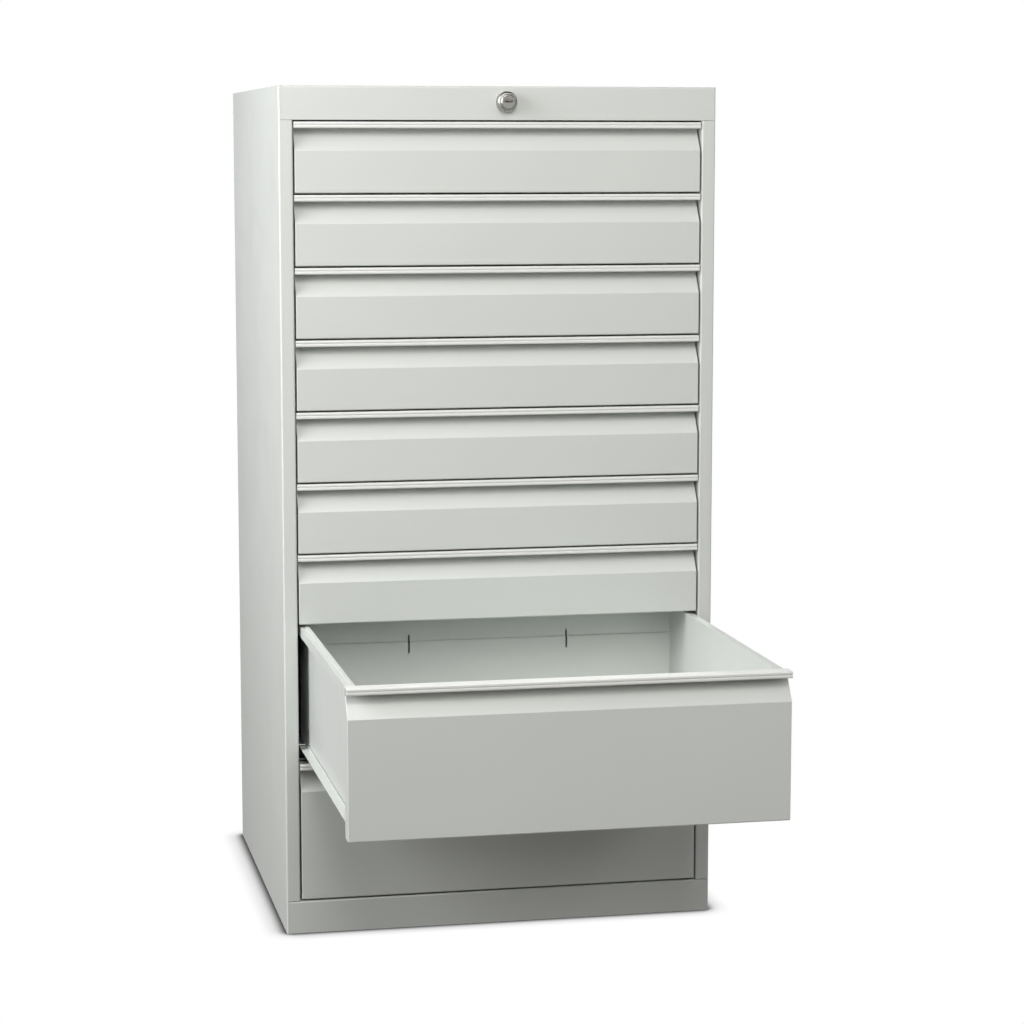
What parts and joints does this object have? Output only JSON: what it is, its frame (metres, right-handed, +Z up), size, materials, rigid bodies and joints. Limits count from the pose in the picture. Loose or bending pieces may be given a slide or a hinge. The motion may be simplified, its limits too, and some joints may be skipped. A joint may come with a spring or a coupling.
{
  "type": "steel drawer cabinet",
  "caption": "Floor-standing sheet-steel cabinet with shallow drawers over deep ones on roller runners, and one lock for all of them.",
  "frame": {"origin": "middle of the plinth's front bottom edge, on the floor", "axes": "+X to the right seen from the front, +Y from the front to the back, +Z up; the drawers pull out towards -Y"},
  "size_m": [0.52, 0.875, 1],
  "materials": {
    "grey_paint": "light grey powder coat, satin",
    "zinc_steel": "bright zinc plate",
    "roller_nylon": "moulded, matte",
    "nickel": "nickel plate, satin"
  },
  "bodies": {
    "cabinet": {"side_panel_left": "grey_paint", "side_panel_right": "grey_paint", "top_panel": "grey_paint", "base_panel": "grey_paint", "back_panel": "grey_paint", "runner_channels_left": "zinc_steel", "runner_channels_right": "zinc_steel", "front_roller_pins": "zinc_steel", "lock_housing": "nickel", "lock_nut": "zinc_steel", "lock_brackets": "zinc_steel"},
    "drawer_1": {"drawer_1_tray": "grey_paint", "drawer_1_front": "grey_paint", "drawer_1_handle": "grey_paint"},
    "rear_rollers_1": {"drawer_1_rear_rollers": "roller_nylon"},
    "front_rollers_1": {"drawer_1_front_rollers": "roller_nylon"},
    "drawer_2": {"drawer_2_tray": "grey_paint", "drawer_2_front": "grey_paint", "drawer_2_handle": "grey_paint"},
    "rear_rollers_2": {"drawer_2_rear_rollers": "roller_nylon"},
    "front_rollers_2": {"drawer_2_front_rollers": "roller_nylon"},
    "drawer_3": {"drawer_3_tray": "grey_paint", "drawer_3_front": "grey_paint", "drawer_3_handle": "grey_paint"},
    "rear_rollers_3": {"drawer_3_rear_rollers": "roller_nylon"},
    "front_rollers_3": {"drawer_3_front_rollers": "roller_nylon"},
    "drawer_4": {"drawer_4_tray": "grey_paint", "drawer_4_front": "grey_paint", "drawer_4_handle": "grey_paint"},
    "rear_rollers_4": {"drawer_4_rear_rollers": "roller_nylon"},
    "front_rollers_4": {"drawer_4_front_rollers": "roller_nylon"},
    "drawer_5": {"drawer_5_tray": "grey_paint", "drawer_5_front": "grey_paint", "drawer_5_handle": "grey_paint"},
    "rear_rollers_5": {"drawer_5_rear_rollers": "roller_nylon"},
    "front_rollers_5": {"drawer_5_front_rollers": "roller_nylon"},
    "drawer_6": {"drawer_6_tray": "grey_paint", "drawer_6_front": "grey_paint", "drawer_6_handle": "grey_paint"},
    "rear_rollers_6": {"drawer_6_rear_rollers": "roller_nylon"},
    "front_rollers_6": {"drawer_6_front_rollers": "roller_nylon"},
    "drawer_7": {"drawer_7_tray": "grey_paint", "drawer_7_front": "grey_paint", "drawer_7_handle": "grey_paint"},
    "rear_rollers_7": {"drawer_7_rear_rollers": "roller_nylon"},
    "front_rollers_7": {"drawer_7_front_rollers": "roller_nylon"},
    "drawer_8": {"drawer_8_tray": "grey_paint", "drawer_8_front": "grey_paint", "drawer_8_handle": "grey_paint"},
    "rear_rollers_8": {"drawer_8_rear_rollers": "roller_nylon"},
    "front_rollers_8": {"drawer_8_front_rollers": "roller_nylon"},
    "drawer_9": {"drawer_9_tray": "grey_paint", "drawer_9_front": "grey_paint", "drawer_9_handle": "grey_paint"},
    "rear_rollers_9": {"drawer_9_rear_rollers": "roller_nylon"},
    "front_rollers_9": {"drawer_9_front_rollers": "roller_nylon"},
    "lock_core": {"lock_core": "nickel", "lock_shaft": "zinc_steel", "lock_crank": "zinc_steel"},
    "lock_bar": {"lock_bar": "zinc_steel"}
  },
  "joints": [
    {"name": "drawer_1_slide", "type": "slide", "parent": "cabinet", "child": "drawer_1", "axis": [0, -1, 0], "range_m": [0, 0.4]},
    {"name": "rear_rollers_1_spin", "type": "hinge", "parent": "drawer_1", "child": "rear_rollers_1", "pos_m": [0, 0.455, 0.8854], "axis": [1, 0, 0], "range_deg": [0, 2977.4]},
    {"name": "front_rollers_1_spin", "type": "hinge", "parent": "cabinet", "child": "front_rollers_1", "pos_m": [0, 0.035, 0.8847], "axis": [1, 0, 0], "range_deg": [0, 3275]},
    {"name": "drawer_2_slide", "type": "slide", "parent": "cabinet", "child": "drawer_2", "axis": [0, -1, 0], "range_m": [0, 0.4]},
    {"name": "rear_rollers_2_spin", "type": "hinge", "parent": "drawer_2", "child": "rear_rollers_2", "pos_m": [0, 0.455, 0.8014], "axis": [1, 0, 0], "range_deg": [0, 2977.4]},
    {"name": "front_rollers_2_spin", "type": "hinge", "parent": "cabinet", "child": "front_rollers_2", "pos_m": [0, 0.035, 0.8007], "axis": [1, 0, 0], "range_deg": [0, 3275]},
    {"name": "drawer_3_slide", "type": "slide", "parent": "cabinet", "child": "drawer_3", "axis": [0, -1, 0], "range_m": [0, 0.4]},
    {"name": "rear_rollers_3_spin", "type": "hinge", "parent": "drawer_3", "child": "rear_rollers_3", "pos_m": [0, 0.455, 0.7174], "axis": [1, 0, 0], "range_deg": [0, 2977.4]},
    {"name": "front_rollers_3_spin", "type": "hinge", "parent": "cabinet", "child": "front_rollers_3", "pos_m": [0, 0.035, 0.7167], "axis": [1, 0, 0], "range_deg": [0, 3275]},
    {"name": "drawer_4_slide", "type": "slide", "parent": "cabinet", "child": "drawer_4", "axis": [0, -1, 0], "range_m": [0, 0.4]},
    {"name": "rear_rollers_4_spin", "type": "hinge", "parent": "drawer_4", "child": "rear_rollers_4", "pos_m": [0, 0.455, 0.6334], "axis": [1, 0, 0], "range_deg": [0, 2977.4]},
    {"name": "front_rollers_4_spin", "type": "hinge", "parent": "cabinet", "child": "front_rollers_4", "pos_m": [0, 0.035, 0.6327], "axis": [1, 0, 0], "range_deg": [0, 3275]},
    {"name": "drawer_5_slide", "type": "slide", "parent": "cabinet", "child": "drawer_5", "axis": [0, -1, 0], "range_m": [0, 0.4]},
    {"name": "rear_rollers_5_spin", "type": "hinge", "parent": "drawer_5", "child": "rear_rollers_5", "pos_m": [0, 0.455, 0.5494], "axis": [1, 0, 0], "range_deg": [0, 2977.4]},
    {"name": "front_rollers_5_spin", "type": "hinge", "parent": "cabinet", "child": "front_rollers_5", "pos_m": [0, 0.035, 0.5487], "axis": [1, 0, 0], "range_deg": [0, 3275]},
    {"name": "drawer_6_slide", "type": "slide", "parent": "cabinet", "child": "drawer_6", "axis": [0, -1, 0], "range_m": [0, 0.4]},
    {"name": "rear_rollers_6_spin", "type": "hinge", "parent": "drawer_6", "child": "rear_rollers_6", "pos_m": [0, 0.455, 0.4654], "axis": [1, 0, 0], "range_deg": [0, 2977.4]},
    {"name": "front_rollers_6_spin", "type": "hinge", "parent": "cabinet", "child": "front_rollers_6", "pos_m": [0, 0.035, 0.4647], "axis": [1, 0, 0], "range_deg": [0, 3275]},
    {"name": "drawer_7_slide", "type": "slide", "parent": "cabinet", "child": "drawer_7", "axis": [0, -1, 0], "range_m": [0, 0.4]},
    {"name": "rear_rollers_7_spin", "type": "hinge", "parent": "drawer_7", "child": "rear_rollers_7", "pos_m": [0, 0.455, 0.3814], "axis": [1, 0, 0], "range_deg": [0, 2977.4]},
    {"name": "front_rollers_7_spin", "type": "hinge", "parent": "cabinet", "child": "front_rollers_7", "pos_m": [0, 0.035, 0.3807], "axis": [1, 0, 0], "range_deg": [0, 3275]},
    {"name": "drawer_8_slide", "type": "slide", "parent": "cabinet", "child": "drawer_8", "axis": [0, -1, 0], "range_m": [-0.385, 0.015]},
    {"name": "rear_rollers_8_spin", "type": "hinge", "parent": "drawer_8", "child": "rear_rollers_8", "pos_m": [0, 0.07, 0.2154], "axis": [1, 0, 0], "range_deg": [-2865.8, 112.6]},
    {"name": "front_rollers_8_spin", "type": "hinge", "parent": "cabinet", "child": "front_rollers_8", "pos_m": [0, 0.035, 0.2147], "axis": [1, 0, 0], "range_deg": [-3152.3, 123.8]},
    {"name": "drawer_9_slide", "type": "slide", "parent": "cabinet", "child": "drawer_9", "axis": [0, -1, 0], "range_m": [0, 0.4]},
    {"name": "rear_rollers_9_spin", "type": "hinge", "parent": "drawer_9", "child": "rear_rollers_9", "pos_m": [0, 0.455, 0.0494], "axis": [1, 0, 0], "range_deg": [0, 2977.4]},
    {"name": "front_rollers_9_spin", "type": "hinge", "parent": "cabinet", "child": "front_rollers_9", "pos_m": [0, 0.035, 0.0487], "axis": [1, 0, 0], "range_deg": [0, 3275]},
    {"name": "lock_bar_slide", "type": "slide", "parent": "cabinet", "child": "lock_bar", "axis": [0, 0, -1], "range_m": [0, 0.00849]},
    {"name": "lock_turn", "type": "hinge", "parent": "cabinet", "child": "lock_core", "pos_m": [0.007, 0, 0.982], "axis": [0, 1, 0], "range_deg": [0, 90.5]}
  ],
  "couplings": [
    {"joint": "rear_rollers_1_spin", "follows": "drawer_1_slide", "rad_per_m": 129.87},
    {"joint": "front_rollers_1_spin", "follows": "drawer_1_slide", "rad_per_m": 142.86},
    {"joint": "rear_rollers_2_spin", "follows": "drawer_2_slide", "rad_per_m": 129.87},
    {"joint": "front_rollers_2_spin", "follows": "drawer_2_slide", "rad_per_m": 142.86},
    {"joint": "rear_rollers_3_spin", "follows": "drawer_3_slide", "rad_per_m": 129.87},
    {"joint": "front_rollers_3_spin", "follows": "drawer_3_slide", "rad_per_m": 142.86},
    {"joint": "rear_rollers_4_spin", "follows": "drawer_4_slide", "rad_per_m": 129.87},
    {"joint": "front_rollers_4_spin", "follows": "drawer_4_slide", "rad_per_m": 142.86},
    {"joint": "rear_rollers_5_spin", "follows": "drawer_5_slide", "rad_per_m": 129.87},
    {"joint": "front_rollers_5_spin", "follows": "drawer_5_slide", "rad_per_m": 142.86},
    {"joint": "rear_rollers_6_spin", "follows": "drawer_6_slide", "rad_per_m": 129.87},
    {"joint": "front_rollers_6_spin", "follows": "drawer_6_slide", "rad_per_m": 142.86},
    {"joint": "rear_rollers_7_spin", "follows": "drawer_7_slide", "rad_per_m": 129.87},
    {"joint": "front_rollers_7_spin", "follows": "drawer_7_slide", "rad_per_m": 142.86},
    {"joint": "rear_rollers_8_spin", "follows": "drawer_8_slide", "rad_per_m": 129.87},
    {"joint": "front_rollers_8_spin", "follows": "drawer_8_slide", "rad_per_m": 142.86},
    {"joint": "rear_rollers_9_spin", "follows": "drawer_9_slide", "rad_per_m": 129.87},
    {"joint": "front_rollers_9_spin", "follows": "drawer_9_slide", "rad_per_m": 142.86},
    {"joint": "lock_turn", "follows": "lock_bar_slide", "rad_per_m": 185.12}
  ]
}
